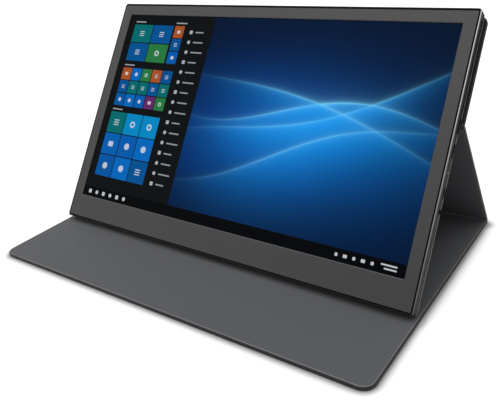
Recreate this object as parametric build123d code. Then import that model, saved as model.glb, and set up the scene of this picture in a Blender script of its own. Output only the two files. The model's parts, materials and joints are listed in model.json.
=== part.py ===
from build123d import *
import math
import os

# Portable monitor standing in its folding cover. Millimetres, X to the viewer's right,
# Y away from the viewer, Z up. The origin is the middle of the footprint on the table.

# Screen and its bezel
picture_width = 344.16
picture_height = 193.59
side_bezel = 12.3
top_bezel = 12.2
bottom_bezel = 24.3
bezel_thickness = 1.0
bezel_bevel = 0.6
bezel_window_ease = 0.3
corner_radius = 3.0

# Monitor shell
housing_wall = 2.2
housing_back = 1.2
inner_room = 5.1
foot_radius = 1.5
trim_width = 1.0
trim_height = 0.8
trim_chamfer = 0.35
bezel_groove = 1.2
skirt_thickness = 1.0
skirt_depth = 1.5
part_clearance = 0.15
hole_ease = 0.05
round_ease = 0.01
least_corner = 0.3

# Display stack, from the front backwards
gasket_thickness = 0.2
gasket_band = 2.0
glass_thickness = 0.6
cell_thickness = 0.8
sheet_thickness = 0.3
guide_thickness = 0.7
reflector_thickness = 0.15
tray_thickness = 0.35
glass_margin = 4.0
glass_bottom_margin = 9.0
led_depth = 2.5

# Cover
skin_thickness = 0.8
board_thickness = 1.5
liner_thickness = 0.7
cover_overhang = 2.6
cover_top_gap = 2.0
front_corner = 10.0
back_corner = 6.0
fold_corner = 1.0

# Stand, as the photograph shows it
tilt = 56.4
edge_setback = 84.0
fold_height = 144.5
fold_gap = 0.15
rest_clearance = 0.3
spine_ease = 1.0
lip_corner = 0.7

# Magnets and steel strips in the cover
magnet_length = 20.0
magnet_width = 6.0
magnet_thickness = 1.0
front_magnet_inset = 6.0
front_magnet_places = (-140.0, -60.0, 60.0, 140.0)
kick_magnet_places = (-110.0, 110.0)
kick_magnet_height = 20.0
strip_length = 300.0
strip_width = 8.0
strip_thickness = 0.6
strip_pitch = 24.0
strip_count = 3

# Boards inside the monitor
board_floor = 2.8
circuit_thickness = 0.8
main_board_width = 96.0
main_board_length = 88.0
main_board_bottom = 66.0
board_edge_gap = 0.4
driver_board_length = 10.0
driver_board_bottom = 8.0
driver_board_reach = 15.0
driver_board_gap = 17.0
chip_size = 16.0
chip_height = 1.2
shield_size = 30.0
shield_height = 1.6
shield_wall = 0.3
connector_width = 15.0
connector_length = 4.0
connector_height = 0.8
cable_width = 12.0
cable_thickness = 0.2
cable_inset = 14.22
standoff_radius = 2.2
board_screw_radius = 0.8
board_screw_head = 1.5
board_screw_head_height = 0.6
lamp_size = 3.0

# Sockets along the right edge: the video ones below the main board's upper end, the rest
# above its lower end
socket_floor_gap = 0.4
socket_wall = 0.3
socket_depth = 7.5
socket_recess = 0.3
socket_slot_ease = 0.2
tongue_thickness = 0.6
tongue_length = 6.4
tongue_share = 0.7
socket_block = 1.5
video_width = 11.2
video_height = 3.2
video_drops = (13.0, 31.0)
video_corner = 0.7
charge_width = 8.9
charge_height = 3.2
charge_offset = 25.0
jack_offset = 11.0
jack_bore = 1.8
jack_depth = 11.0
jack_body_depth = 12.0
jack_body_width = 6.0
jack_body_height = 4.2
jack_floor_gap = 0.2
jack_hole = 2.4
light_offset = 40.0
light_radius = 0.75
light_z = 4.4
pipe_reach = 2.0

# Keys along the left edge, by the distance of their centres below the top edge
key_names = ("power_key", "menu_key", "plus_key", "minus_key")
key_drops = (70.09, 88.09, 102.09, 116.09)
key_lengths = (12.0, 8.0, 8.0, 8.0)
key_height = 2.4
key_z = 4.4
key_proud = 0.5
key_travel = 0.5
key_clearance = 0.2
flange_thickness = 0.8
flange_margin = 0.9
switch_length = 3.5
switch_width = 3.0
switch_height = 2.8
key_board_width = 4.5
key_board_overlap = 8.0
key_board_floor = 2.2

# Speakers, bottom magnets, ribs, bosses and screws
speaker_length = 40.0
speaker_width = 10.0
speaker_height = 4.2
speaker_corner = 3.0
speaker_inset = 14.18
speaker_bottom = 6.0
cone_radius = 3.6
cone_depth = 0.8
edge_magnet_places = (-95.0, -55.0, 55.0, 95.0)
edge_magnet_width = 3.0
rib_thickness = 2.0
rib_bottom = 30.0
rib_margin = 24.0
rib_inset = 22.18
rib_pitch = 85.0
rib_count = 3
boss_height = 2.0
boss_glass_gap = 0.3
boss_wall_gap = 0.6
boss_bottom = 20.0
boss_board_gap = 8.0
boss_drops = (42.09, 8.09)
screw_radius = 1.0
screw_clearance = 0.1
screw_length = 5.5
screw_head_radius = 1.9
screw_head_height = 0.8
screw_sink = 0.1
screw_turn = 25.0
cross_length = 2.2
cross_width = 0.45
cross_depth = 0.4
grille_slots = 9
grille_pitch = 3.6
grille_slot_length = 9.0
grille_slot_width = 1.2
grille_bottom = 6.5

# Sizes that follow from the ones above
panel_thickness = skin_thickness + board_thickness + liner_thickness
monitor_width = picture_width + 2 * side_bezel
monitor_height = picture_height + top_bezel + bottom_bezel
cover_width = monitor_width + 2 * cover_overhang
bezel_inset = trim_width + bezel_groove
tray_back = housing_back + inner_room
reflector_back = tray_back + tray_thickness
guide_back = reflector_back + reflector_thickness
sheet_back = guide_back + guide_thickness
cell_back = sheet_back + sheet_thickness
glass_back = cell_back + cell_thickness
glass_front = glass_back + glass_thickness
bezel_back = glass_front + gasket_thickness
monitor_depth = bezel_back + bezel_thickness
glass_width = picture_width + 2 * glass_margin
glass_bottom = bottom_bezel - glass_bottom_margin
glass_height = glass_bottom_margin + picture_height + glass_margin
inner_wall = monitor_width / 2 - housing_wall
board_top = board_floor + circuit_thickness
main_board_right = inner_wall - board_edge_gap
main_board_left = main_board_right - main_board_width
main_board_centre = (main_board_left + main_board_right) / 2
cable_x = main_board_left + cable_inset
speaker_place = inner_wall - speaker_inset - speaker_length / 2
driver_board_left = driver_board_gap - (speaker_place - speaker_length / 2)
driver_board_right = cable_x + driver_board_reach
driver_board_width = driver_board_right - driver_board_left
driver_board_centre = (driver_board_left + driver_board_right) / 2
socket_z = housing_back + socket_floor_gap + video_height / 2
jack_z = housing_back + jack_floor_gap + jack_body_height / 2
main_board_top = main_board_bottom + main_board_length
video_heights = tuple(main_board_top - drop for drop in video_drops)
charge_place = main_board_bottom + charge_offset
light_place = main_board_bottom + light_offset
jack_place = main_board_bottom + jack_offset
rib_places = tuple(rib_inset - inner_wall + index * rib_pitch for index in range(rib_count))
boss_radius = (side_bezel - housing_wall - glass_margin - boss_glass_gap - boss_wall_gap) / 2
boss_x = glass_width / 2 + boss_glass_gap + boss_radius
boss_low_heights = (boss_bottom, main_board_bottom - boss_board_gap)
boss_heights = boss_low_heights + tuple(monitor_height - drop for drop in boss_drops)
key_places = tuple(monitor_height - drop for drop in key_drops)
key_board_x = -inner_wall + flange_thickness + key_travel + 2 * key_clearance

# The stand is an isosceles triangle: the kick panel's foot, the fold on the monitor's
# back, and the centre of the rounded edge that the monitor stands on. The foot and the
# edge are at one height, so the edge slides level as the stand tilts.
edge_z = panel_thickness + rest_clearance + foot_radius
fold_up = fold_height - foot_radius
fold_back = panel_thickness + foot_radius
fold_reach = math.hypot(fold_up, fold_back)
fold_angle = math.radians(tilt) - math.atan2(fold_back, fold_up)
stand_depth = 2 * fold_reach * math.cos(fold_angle)
kick_half = panel_thickness / 2
kick_length = math.sqrt(fold_reach**2 - kick_half**2)
kick_turn = 180 - math.degrees(fold_angle - math.atan2(kick_half, kick_length))
foot_clear = edge_z - panel_thickness - kick_half
lip_inside = kick_half + foot_clear
lip_outside = lip_inside + skin_thickness
cover_depth = edge_setback + stand_depth + lip_outside
front_y = -cover_depth / 2
rear_y = cover_depth / 2
foot_y = rear_y - lip_outside
edge_y = front_y + edge_setback
hinge_y = foot_y - monitor_depth - panel_thickness - spine_ease
front_length = hinge_y - fold_gap - front_y
spine_length = foot_y + lip_inside - hinge_y - fold_gap
upper_length = monitor_height - cover_top_gap - fold_height - fold_gap

monitor_place = Pos(0, edge_y, edge_z) * Rot(tilt, 0, 0) * Pos(0, -foot_radius, -foot_radius)
kick_place = Pos(0, foot_y, edge_z) * Rot(kick_turn, 0, 0) * Pos(0, 0, -kick_half)
front_place = Pos(0, front_y, 0)
spine_place = Pos(0, hinge_y + fold_gap, 0)


def panel_slab(inset, low, high, length, near_corner, far_corner):
    """A cover panel's layer from Z = low to high, drawn in from the panel's edges."""
    width = cover_width - 2 * inset
    outline = Pos(0, length / 2) * Rectangle(width, length - 2 * inset)
    near_vertices = outline.vertices().group_by(Axis.Y)[0]
    outline = fillet(near_vertices, max(near_corner - inset, least_corner))
    far_vertices = outline.vertices().group_by(Axis.Y)[-1]
    outline = fillet(far_vertices, max(far_corner - inset, least_corner))
    return Pos(0, 0, low) * extrude(outline, high - low)


def skin_tray(length, near_corner, far_corner):
    """The outer skin with its edges turned up round the board and the liner."""
    outside = panel_slab(0, 0, panel_thickness, length, near_corner, far_corner)
    pocket = panel_slab(
        skin_thickness, skin_thickness, panel_thickness, length, near_corner, far_corner
    )
    return outside - pocket


def board_layer(length, near_corner, far_corner):
    """The stiffener board that fills the skin's pocket under the liner."""
    top = skin_thickness + board_thickness
    return panel_slab(skin_thickness, skin_thickness, top, length, near_corner, far_corner)


def liner_layer(length, near_corner, far_corner):
    """The lining sheet, flush with the turned-up edge of the skin."""
    low = skin_thickness + board_thickness
    return panel_slab(skin_thickness, low, panel_thickness, length, near_corner, far_corner)


def flat_magnets(places, y, top):
    """A row of flat magnets whose upper faces are at one height."""
    block = Box(magnet_length, magnet_width, magnet_thickness)
    low = top - magnet_thickness / 2
    return Part() + [Pos(x, y, low) * block for x in places]


def front_cover():
    """The panel that lies on the table and shuts over the screen."""
    corners = (front_length, front_corner, fold_corner)
    board = board_layer(*corners)
    top = skin_thickness + board_thickness
    magnets = flat_magnets(front_magnet_places, front_magnet_inset + magnet_width / 2, top)
    strip = Box(strip_length, strip_width, strip_thickness)
    strips = Part()
    for index in range(strip_count):
        y = edge_setback + (index - (strip_count - 1) / 2) * strip_pitch
        strips += Pos(0, y, top - strip_thickness / 2) * strip
    return {
        "front_cover_skin": front_place * skin_tray(*corners),
        "front_cover_board": front_place * (board - magnets - strips),
        "front_cover_liner": front_place * liner_layer(*corners),
        "closing_magnets": front_place * magnets,
        "stand_strips": front_place * strips,
    }


def spine():
    """The narrow strip behind the front cover, with the lip that wraps the kick panel's foot."""
    corners = (spine_length, fold_corner, fold_corner)
    lip_height = edge_z + foot_clear
    lip = Pos(0, spine_length + skin_thickness / 2, lip_height / 2) * Box(
        cover_width, skin_thickness, lip_height
    )
    lower_edge = lip.edges().group_by(Axis.Y)[-1].group_by(Axis.Z)[0]
    lip = fillet(lower_edge, lip_corner)
    return {
        "spine_skin": spine_place * (skin_tray(*corners) + lip),
        "spine_board": spine_place * board_layer(*corners),
        "spine_liner": spine_place * liner_layer(*corners),
    }


def kick_panel():
    """The leaning panel behind the monitor, with a rounded foot."""
    corners = (kick_length - fold_gap, fold_corner, fold_corner)
    foot = Pos(0, 0, kick_half) * Rot(0, 90, 0) * Cylinder(kick_half, cover_width)
    heel = Pos(0, kick_half / 2, kick_half) * Box(cover_width, kick_half, panel_thickness)
    top = skin_thickness + board_thickness
    magnets = flat_magnets(kick_magnet_places, kick_magnet_height, top)
    return {
        "kick_skin": kick_place * (skin_tray(*corners) + heel + foot),
        "kick_board": kick_place * (board_layer(*corners) - heel - magnets),
        "kick_liner": kick_place * (liner_layer(*corners) - heel),
        "kick_magnets": kick_place * magnets,
    }


def upper_cover():
    """The back panel that is bonded to the upper half of the monitor."""
    corners = (upper_length, fold_corner, back_corner)
    place = monitor_place * Pos(0, fold_height + fold_gap, -panel_thickness)
    return {
        "upper_skin": place * skin_tray(*corners),
        "upper_board": place * board_layer(*corners),
        "bonding_sheet": place * liner_layer(*corners),
    }


def monitor_slab(inset, low, high):
    """A slab with the monitor's rounded outline, drawn in by the inset."""
    outline = Pos(0, monitor_height / 2) * RectangleRounded(
        monitor_width - 2 * inset,
        monitor_height - 2 * inset,
        max(corner_radius - inset, least_corner),
    )
    return Pos(0, 0, low) * extrude(outline, high - low)


def box_at(x, y, low, width, length, height):
    """A box centred on X and Y that stands on Z = low."""
    return Pos(x, y, low + height / 2) * Box(width, length, height)


def post_at(x, y, low, radius, height):
    """A round post that stands on Z = low."""
    return Pos(x, y, low + height / 2) * Cylinder(radius, height)


def boss_spots():
    """The places of the screws that join the housing to the bezel."""
    return [(side * boss_x, y) for side in (-1, 1) for y in boss_heights]


def main_board_spots():
    """The four screws of the main board."""
    half_width = main_board_width / 2 - standoff_radius
    half_length = main_board_length / 2 - standoff_radius
    middle = main_board_bottom + main_board_length / 2
    left = main_board_centre - half_width
    right = main_board_right - socket_depth - 2 * standoff_radius
    return [(x, middle + end * half_length) for x in (left, right) for end in (-1, 1)]


def driver_board_spots():
    """The two screws of the driver board."""
    reach = driver_board_width / 2 - 2 * standoff_radius
    y = driver_board_bottom + driver_board_length / 2
    return [(driver_board_centre + side * reach, y) for side in (-1, 1)]


def side_profile(width, height, depth, corner):
    """A socket's outline, run inwards from the right wall, with its middle on Y = Z = 0."""
    outline = Plane.YZ * RectangleRounded(width, height, corner)
    return extrude(outline, -depth)


def socket(width, height, corner):
    """A metal socket shell with its back block and its contact tongue."""
    shell = side_profile(width, height, socket_depth, corner)
    bore_width = width - 2 * socket_wall
    bore_height = height - 2 * socket_wall
    bore = side_profile(bore_width, bore_height, socket_depth, corner - socket_wall)
    block = Pos(socket_block - socket_depth, 0, 0) * side_profile(
        bore_width, bore_height, socket_block, corner - socket_wall
    )
    tongue = Pos(tongue_length / 2 - socket_depth, 0, 0) * Box(
        tongue_length, width * tongue_share, tongue_thickness
    )
    return shell - bore + block + tongue


def socket_places():
    """Each socket's width, height, corner and middle, by name."""
    upper, lower = video_heights
    return {
        "video_socket_upper": (video_width, video_height, video_corner, upper),
        "video_socket_lower": (video_width, video_height, video_corner, lower),
        "charge_socket": (charge_width, charge_height, charge_height / 2 - round_ease, charge_place),
    }


def key_slot(y, length, ease, depth):
    """The rounded slot or cap of one key, run inwards from the left wall's outer face."""
    corner = key_height / 2 + ease - round_ease
    outline = Plane.YZ * RectangleRounded(length + 2 * ease, key_height + 2 * ease, corner)
    solid = extrude(outline, depth)
    return Pos(-monitor_width / 2, y, key_z) * solid


def ribs():
    """The ribs inside the housing that carry the display tray."""
    height = tray_back - housing_back
    top = glass_bottom + glass_height - rib_margin
    length = top - rib_bottom
    upright = [
        box_at(x, rib_bottom + length / 2, housing_back, rib_thickness, length, height)
        for x in rib_places
    ]
    across = box_at(0, top, housing_back, glass_width - 2 * rib_margin, rib_thickness, height)
    return Part() + upright + across


def grille(side):
    """One speaker's row of slots through the housing's back."""
    slot = Box(grille_slot_width, grille_slot_length, 3 * housing_back)
    y = grille_bottom + grille_slot_length / 2
    middle = (grille_slots - 1) / 2
    places = [side * speaker_place + (index - middle) * grille_pitch for index in range(grille_slots)]
    return Part() + [Pos(x, y, housing_back / 2) * slot for x in places]


def rear_housing():
    """The tray that holds everything, with its wall cut for the sockets and keys."""
    outside = monitor_slab(0, 0, bezel_back)
    outside = fillet(outside.faces().sort_by(Axis.Z)[0].edges(), foot_radius)
    body = outside - monitor_slab(housing_wall, housing_back, bezel_back)
    body += ribs()
    for x, y in boss_spots():
        body += post_at(x, y, housing_back, boss_radius, boss_height)
        body -= post_at(x, y, -housing_back, screw_radius + screw_clearance, 3 * boss_height)
        body -= Pos(x, y, screw_sink + screw_head_height / 2) * Cone(
            screw_head_radius, screw_radius + screw_clearance, screw_head_height
        )
        body -= post_at(x, y, -housing_back, screw_head_radius, housing_back + screw_sink)
    for x, y in main_board_spots() + driver_board_spots():
        body += post_at(x, y, housing_back, standoff_radius, board_floor - housing_back)
        body -= post_at(x, y, housing_back, board_screw_radius + hole_ease, board_floor)
    body += key_board_standoffs()
    for width, height, corner, y in socket_places().values():
        cut = side_profile(
            width + 2 * socket_slot_ease,
            height + 2 * socket_slot_ease,
            2 * housing_wall,
            corner + socket_slot_ease,
        )
        body -= Pos(monitor_width / 2 + housing_wall / 2, y, socket_z) * cut
    across = Rot(0, 90, 0)
    body -= Pos(monitor_width / 2, jack_place, jack_z) * across * Cylinder(jack_hole, 3 * housing_wall)
    body -= Pos(monitor_width / 2, light_place, light_z) * across * Cylinder(
        light_radius + hole_ease, 3 * housing_wall
    )
    for y, length in zip(key_places, key_lengths):
        body -= Pos(-housing_wall, 0, 0) * key_slot(y, length, key_clearance, 3 * housing_wall)
    return body - grille(-1) - grille(1)


def edge_trim():
    """The bright ring between the housing and the bezel."""
    low = bezel_back
    ring = monitor_slab(0, low, low + trim_height)
    ring = chamfer(ring.faces().sort_by(Axis.Z)[-1].edges(), trim_chamfer)
    return ring - monitor_slab(trim_width, low, low + trim_height)


def window(ease, low, high):
    """The picture's outline, eased outwards, as a cutting slab."""
    y = bottom_bezel + picture_height / 2
    return box_at(0, y, low, picture_width + 2 * ease, picture_height + 2 * ease, high - low)


def front_bezel():
    """The frame round the picture, with its snap skirt and its screw posts."""
    plate = monitor_slab(bezel_inset, bezel_back, monitor_depth)
    plate -= window(bezel_window_ease, bezel_back, monitor_depth)
    inner = plate.faces().sort_by(Axis.Z)[-1].inner_wires()[0].edges()
    plate = chamfer(inner, bezel_bevel)
    skirt_low = bezel_back - skirt_depth
    skirt = monitor_slab(housing_wall + part_clearance, skirt_low, bezel_back)
    skirt -= monitor_slab(housing_wall + part_clearance + skirt_thickness, skirt_low, bezel_back)
    frame = plate + skirt
    post_low = housing_back + boss_height
    for x, y in boss_spots():
        frame += post_at(x, y, post_low, boss_radius - part_clearance, bezel_back - post_low)
        frame -= post_at(
            x, y, housing_back, screw_radius + hole_ease, screw_sink + screw_length - housing_back
        )
    return frame


def glass_slab(inset, low, high):
    """A slab with the cover glass's outline, drawn in by the inset."""
    y = glass_bottom + glass_height / 2
    return box_at(0, y, low, glass_width - 2 * inset, glass_height - 2 * inset, high - low)


def display():
    """The cover glass, the gasket and the display behind it."""
    tray_inset = tray_thickness + part_clearance
    gasket = glass_slab(0, glass_front, bezel_back)
    gasket -= glass_slab(gasket_band, glass_front, bezel_back)
    tray = glass_slab(0, tray_back, glass_back)
    tray -= glass_slab(tray_thickness, reflector_back, glass_back)
    guide = glass_slab(tray_inset, guide_back, sheet_back)
    led_y = glass_bottom + tray_inset + led_depth / 2
    led_slot = box_at(0, led_y, guide_back, glass_width, led_depth, guide_thickness)
    led_bar = box_at(
        0, led_y, guide_back, glass_width - 2 * tray_inset, led_depth, guide_thickness
    )
    return {
        "glass_gasket": gasket,
        "cover_glass": glass_slab(0, glass_back, glass_front),
        "display_cell": glass_slab(tray_inset, cell_back, glass_back),
        "optical_sheets": glass_slab(tray_inset, sheet_back, cell_back),
        "light_guide": guide - led_slot,
        "led_strip": led_bar,
        "reflector_sheet": glass_slab(tray_inset, reflector_back, guide_back),
        "display_tray": tray,
    }


def jack():
    """The headphone socket, with its bore open to the right."""
    front = inner_wall
    body = box_at(
        front - jack_body_depth / 2, jack_place, jack_z - jack_body_height / 2,
        jack_body_depth, jack_body_width, jack_body_height,
    )
    collar_length = housing_wall - socket_recess
    collar = Pos(front + collar_length / 2, jack_place, jack_z) * Rot(0, 90, 0) * Cylinder(
        jack_hole - part_clearance, collar_length
    )
    bore = Pos(front + collar_length - jack_depth / 2, jack_place, jack_z) * Rot(0, 90, 0) * Cylinder(
        jack_bore, jack_depth
    )
    return body + collar - bore


def sockets():
    """The sockets on the right edge and the pipe of the status light."""
    front = monitor_width / 2 - socket_recess
    made = {}
    for name, (width, height, corner, y) in socket_places().items():
        made[name] = Pos(front, y, socket_z) * socket(width, height, corner)
    made["headphone_socket"] = jack()
    pipe_length = housing_wall + board_edge_gap + pipe_reach
    made["status_light_pipe"] = Pos(
        monitor_width / 2 - pipe_length / 2, light_place, light_z
    ) * Rot(0, 90, 0) * Cylinder(light_radius, pipe_length)
    return made


def main_board():
    """The main circuit board, notched for its sunk sockets, with its chip and connector."""
    middle = main_board_bottom + main_board_length / 2
    board = box_at(
        main_board_centre, middle, board_floor, main_board_width, main_board_length, circuit_thickness
    )
    for x, y in main_board_spots():
        board -= post_at(x, y, board_floor, board_screw_radius + part_clearance, circuit_thickness)
    socket_back = monitor_width / 2 - socket_recess - socket_depth
    notches = [(width, y, socket_back) for width, height, corner, y in socket_places().values()]
    notches.append((jack_body_width, jack_place, inner_wall - jack_body_depth))
    for width, y, back in notches:
        depth = main_board_right - back + part_clearance
        board -= box_at(
            main_board_right - depth / 2, y, board_floor, depth, width + part_clearance, circuit_thickness
        )
    board += box_at(main_board_centre, middle + shield_size, board_top, chip_size, chip_size, chip_height)
    board += box_at(
        cable_x, main_board_bottom + connector_length, board_top,
        connector_width, connector_length, connector_height,
    )
    lamp_x = main_board_right - pipe_reach - lamp_size / 2
    lamp_height = light_z + light_radius - board_top
    board += box_at(lamp_x, light_place, board_top, lamp_size, lamp_size, lamp_height)
    return board


def shield_can():
    """The tin lid over the picture chip."""
    middle = main_board_bottom + main_board_length / 2 - shield_size / 4
    lid = box_at(main_board_centre, middle, board_top, shield_size, shield_size, shield_height)
    inner = shield_size - 2 * shield_wall
    return lid - box_at(
        main_board_centre, middle, board_top, inner, inner, shield_height - shield_wall
    )


def driver_board():
    """The long board below the display that drives it."""
    y = driver_board_bottom + driver_board_length / 2
    board = box_at(
        driver_board_centre, y, board_floor, driver_board_width, driver_board_length, circuit_thickness
    )
    for x, spot_y in driver_board_spots():
        board -= post_at(x, spot_y, board_floor, board_screw_radius + part_clearance, circuit_thickness)
    top = driver_board_bottom + driver_board_length
    return board + box_at(
        cable_x, top - connector_length / 2, board_top,
        connector_width, connector_length, connector_height,
    )


def flat_cable():
    """The ribbon from the driver board's connector to the main board's."""
    low = driver_board_bottom + driver_board_length
    high = main_board_bottom + connector_length / 2
    z = board_top + (connector_height - cable_thickness) / 2
    return box_at(cable_x, (low + high) / 2, z, cable_width, high - low, cable_thickness)


def board_screws():
    """The screws that hold both circuit boards to the housing."""
    screws = Part()
    shank = board_top - housing_back
    for x, y in main_board_spots() + driver_board_spots():
        screws += post_at(x, y, housing_back, board_screw_radius, shank)
        screws += post_at(x, y, board_top, board_screw_head, board_screw_head_height)
    return screws


def key_board_span():
    """The lowest and highest point of the key board along the left edge."""
    return min(key_places) - key_board_overlap, max(key_places) + key_board_overlap


def key_board_standoffs():
    """Two blocks in the housing that carry the key board."""
    low, high = key_board_span()
    x = key_board_x + key_board_width / 2
    height = key_board_floor - housing_back
    size = 2 * rib_thickness
    blocks = [
        box_at(x, y, housing_back, key_board_width, size, height)
        for y in (low + size / 2, high - size / 2)
    ]
    return Part() + blocks


def key_board():
    """The narrow board behind the keys."""
    low, high = key_board_span()
    x = key_board_x + key_board_width / 2
    return box_at(x, (low + high) / 2, key_board_floor, key_board_width, high - low, circuit_thickness)


def key_switches():
    """One side-pressed switch behind each key."""
    base = key_board_floor + circuit_thickness
    x = key_board_x + switch_length / 2
    return Part() + [
        box_at(x, y, base, switch_length, switch_width, switch_height) for y in key_places
    ]


def keys():
    """The key caps, each with the flange that keeps it in its slot."""
    made = {}
    flange_back = -inner_wall + key_clearance / 2
    for name, y, length in zip(key_names, key_places, key_lengths):
        reach = key_proud + housing_wall + key_clearance / 2
        cap = Pos(-key_proud, 0, 0) * key_slot(y, length, 0, reach)
        flange = box_at(
            flange_back + flange_thickness / 2, y, key_z - key_height / 2 - flange_margin,
            flange_thickness, length + 2 * flange_margin, key_height + 2 * flange_margin,
        )
        made[name] = cap + flange
    return made


def speaker(side):
    """A flat speaker with its cone facing the slots in the back."""
    y = speaker_bottom + speaker_width / 2
    x = side * speaker_place
    body = box_at(x, y, housing_back, speaker_length, speaker_width, speaker_height)
    body = fillet(body.edges().filter_by(Axis.Z), speaker_corner)
    for offset in (-speaker_length / 4, speaker_length / 4):
        body -= post_at(x + offset, y, housing_back, cone_radius, cone_depth)
    return body


def edge_magnets():
    """Magnets along the bottom edge that hold the monitor to the steel strips."""
    y = housing_wall + edge_magnet_width / 2
    return Part() + [
        box_at(x, y, housing_back, magnet_length, edge_magnet_width, edge_magnet_width)
        for x in edge_magnet_places
    ]


def housing_screws():
    """The countersunk screws, with cross recesses, through the housing's back into the bezel."""
    screw = post_at(0, 0, screw_sink, screw_radius, screw_length)
    screw += Pos(0, 0, screw_sink + screw_head_height / 2) * Cone(
        screw_head_radius - part_clearance, screw_radius, screw_head_height
    )
    for turn in (0, 90):
        screw -= Rot(0, 0, turn) * box_at(0, 0, screw_sink, cross_length, cross_width, cross_depth)
    return Part() + [Pos(x, y, 0) * Rot(0, 0, screw_turn) * screw for x, y in boss_spots()]


def monitor():
    """Every piece of the monitor, where it stands."""
    pieces = {
        "rear_housing": rear_housing(),
        "edge_trim": edge_trim(),
        "front_bezel": front_bezel(),
        "main_board": main_board(),
        "shield_can": shield_can(),
        "driver_board": driver_board(),
        "flat_cable": flat_cable(),
        "board_screws": board_screws(),
        "key_board": key_board(),
        "key_switches": key_switches(),
        "speaker_left": speaker(-1),
        "speaker_right": speaker(1),
        "edge_magnets": edge_magnets(),
        "housing_screws": housing_screws(),
    }
    pieces.update(display())
    pieces.update(sockets())
    pieces.update(keys())
    return {name: monitor_place * piece for name, piece in pieces.items()}


nodes = {}
for group in (front_cover(), spine(), kick_panel(), upper_cover(), monitor()):
    nodes.update(group)

os.makedirs("parts", exist_ok=True)
for name, solid in nodes.items():
    export_step(solid, f"parts/{name}.step")

print("foot pivot", 0, round(foot_y, 4), round(edge_z, 4))
fold_point = (monitor_place * Pos(0, fold_height, -panel_thickness)).position
print("fold pivot", 0, round(fold_point.Y, 4), round(fold_point.Z, 4))
print("front fold pivot", 0, round(hinge_y, 4), 0)
jack_mouth = (monitor_place * Pos(monitor_width / 2 - socket_recess, jack_place, jack_z)).position
print("jack mouth", tuple(round(value, 4) for value in jack_mouth))
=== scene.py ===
import json
import math

import bmesh
import bpy
from bpy.props import FloatProperty, FloatVectorProperty, PointerProperty
from bpy.types import Operator, Panel, PropertyGroup
from mathutils import Matrix, Vector


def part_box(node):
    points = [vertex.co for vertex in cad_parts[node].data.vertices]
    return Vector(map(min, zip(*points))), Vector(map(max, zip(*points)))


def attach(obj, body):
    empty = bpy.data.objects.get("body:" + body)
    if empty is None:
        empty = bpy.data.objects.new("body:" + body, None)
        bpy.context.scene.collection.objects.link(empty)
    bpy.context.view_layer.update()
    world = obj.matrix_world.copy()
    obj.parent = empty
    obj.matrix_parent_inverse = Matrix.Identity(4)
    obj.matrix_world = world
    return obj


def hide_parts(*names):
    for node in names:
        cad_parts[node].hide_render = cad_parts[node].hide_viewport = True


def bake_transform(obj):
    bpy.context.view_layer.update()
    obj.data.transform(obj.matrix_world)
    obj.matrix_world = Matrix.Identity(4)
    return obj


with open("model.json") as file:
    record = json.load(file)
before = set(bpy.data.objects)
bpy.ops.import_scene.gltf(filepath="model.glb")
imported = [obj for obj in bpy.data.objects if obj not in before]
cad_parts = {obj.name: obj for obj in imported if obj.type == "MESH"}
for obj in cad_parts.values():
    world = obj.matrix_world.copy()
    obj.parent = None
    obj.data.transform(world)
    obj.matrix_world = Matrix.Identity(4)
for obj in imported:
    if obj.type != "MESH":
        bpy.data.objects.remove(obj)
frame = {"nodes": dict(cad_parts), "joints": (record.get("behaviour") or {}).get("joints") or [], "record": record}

bl_info = {
    "name": "Portable monitor in its folding cover",
    "version": (1, 0, 0),
    "blender": (4, 5, 0),
    "location": "3D View > Sidebar > Monitor",
    "description": "Dresses the packed solids of a portable monitor and its leather cover",
    "category": "Mesh",
}

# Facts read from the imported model

JOINTS = {joint["name"]: joint for joint in frame["joints"]}
SLOTS = {part["node"]: part["material_slot"] for part in frame["record"]["subparts"]}
PACKED = {entry["slot"]: entry for entry in frame["record"]["materials"]}
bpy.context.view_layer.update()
HINGE = Vector(JOINTS["front_cover_fold"]["pos_m"])
FOOT = Vector(JOINTS["stand_tilt"]["pos_m"])
FOLD = Vector(JOINTS["back_fold"]["pos_m"])
FRONT_LOW, FRONT_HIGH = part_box("front_cover_skin")
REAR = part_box("spine_skin")[1].y
COVER_WIDTH = FRONT_HIGH.x - FRONT_LOW.x

# Measures of the monitor that its painted details follow, in metres

MONITOR_HEIGHT = 0.23009
TRIM_WIDTH = 0.001
TRIM_CORNER = 0.0015
SEAM_HEIGHT = 0.0072
SEAM_HALF = 0.00014

# How strongly the moulding line shows, the frame's painted shade and light up it, and its painted highlight on the
# bevels

SEAM_STRENGTH = 0.25
BEZEL_PAINTED_SHADE_AND_LIGHT = (0.80, 1.12)
BEVEL_HIGHLIGHT_LIFT = 1.9

# The bright edge: how its wear changes it, and its painted shade towards the bottom of the monitor

TRIM_WEAR = (0.2, 0.8, 0.9, 1.1)
TRIM_SHADE_FADE = (-0.11, 0.03, 0.35, 1.0)

# Limits between which painted shade, light and highlights fade: heights above the monitor's back or its bottom
# edge

WALL_TOP_SHADE = (0.0089, 0.0092)
LOWER_WALL_LIGHT_FADE = (0.015, 0.075)
HIGHLIGHT_START = (0.0001, 0.0003)
HIGHLIGHT_END = (0.0016, 0.0019)

# Limits between which painted shade and highlights fade: how far a face is turned to the front or to the side

BEZEL_WALL_SHADE = (0.2, 0.4)
BEVEL_START = (0.4, 0.5)
BEVEL_END = (0.85, 0.95)
TRIM_SIDE_SHADE = (0.6, 0.8)
SIDE_TURN = (0.55, 0.95)

# The floor's glow, from near the object to far away, and the painted contact shadow where the object stands

FLOOR_GLOW_REACH = (0.3, 1.1)
FLOOR_GLOW = (0.80, 0.92)
CONTACT_SHADOW_REACH = 0.010
CONTACT_SHADOW_POWER = 8.0

# How finely the shapes are divided: by counts, by degrees of a turn and by metres of a run

CORNER_STEPS = 10
RIM_STEPS = 4
FOLD_STEPS = 8
EDGE_STEPS = 3
BEND_COLUMNS = 4
TURN_STEP = 9
STRIP_STEP = 0.0006

# The flat left beside a rim and the least corner round it, to its radius; a middle's margin

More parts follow.
